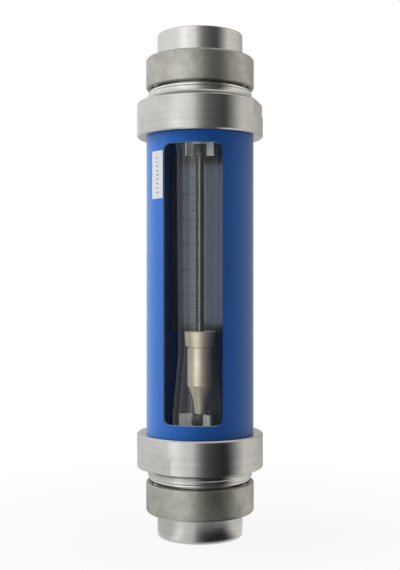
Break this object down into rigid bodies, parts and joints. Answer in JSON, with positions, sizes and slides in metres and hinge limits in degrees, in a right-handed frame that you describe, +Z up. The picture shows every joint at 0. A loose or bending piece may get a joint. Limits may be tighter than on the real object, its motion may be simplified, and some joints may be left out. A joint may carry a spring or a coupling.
{
  "type": "rotameter",
  "caption": "Glass-tube rotameter: tapered measuring glass and guided float in a windowed blue tube, with turned heads and threaded union joints.",
  "frame": {"origin": "centre of the lower connector's end face, on which the meter stands", "axes": "+Z up the flow axis from inlet to outlet, -Y out of the front window, +X to the right of the window"},
  "size_m": [0.0895, 0.0894, 0.3543],
  "materials": {
    "blue_paint": "semi-gloss enamel",
    "turned_steel": "fine turned, bright",
    "dull_steel": "blasted, dull",
    "polished_steel": "polished",
    "float_steel": "smooth turned",
    "clear_glass": "clear, with a printed scale",
    "grey_pane": "smoked, translucent",
    "label_paper": "matt film",
    "seal_rubber": "matt",
    "stop_plastic": "matt"
  },
  "bodies": {
    "housing": {"blank_label": "label_paper", "guide_rod": "polished_steel", "lower_connector": "turned_steel", "lower_end_washer": "seal_rubber", "lower_float_stop": "stop_plastic", "lower_gland_ring": "polished_steel", "lower_glass_packing": "seal_rubber", "lower_head": "turned_steel", "lower_joint_gasket": "seal_rubber", "lower_rod_guide": "polished_steel", "lower_rod_nut": "polished_steel", "lower_tube_gasket": "seal_rubber", "measuring_glass": "clear_glass", "protective_tube": "blue_paint", "rear_pane": "grey_pane", "upper_connector": "turned_steel", "upper_end_washer": "seal_rubber", "upper_float_stop": "stop_plastic", "upper_gland_ring": "polished_steel", "upper_glass_packing": "seal_rubber", "upper_head": "turned_steel", "upper_joint_gasket": "seal_rubber", "upper_rod_guide": "polished_steel", "upper_rod_nut": "polished_steel", "upper_tube_gasket": "seal_rubber"},
    "float": {"float": "float_steel"},
    "upper_nut": {"upper_union_nut": "dull_steel"},
    "lower_nut": {"lower_union_nut": "dull_steel"}
  },
  "joints": [
    {"name": "float_rise", "type": "slide", "parent": "housing", "child": "float", "axis": [0, 0, 1], "range_m": [0, 0.124]},
    {"name": "upper_nut_turn", "type": "hinge", "parent": "housing", "child": "upper_nut", "pos_m": [0, 0, 0.32665], "axis": [0, 0, 1], "continuous": true},
    {"name": "lower_nut_turn", "type": "hinge", "parent": "housing", "child": "lower_nut", "pos_m": [0, 0, 0.02765], "axis": [0, 0, 1], "continuous": true}
  ]
}
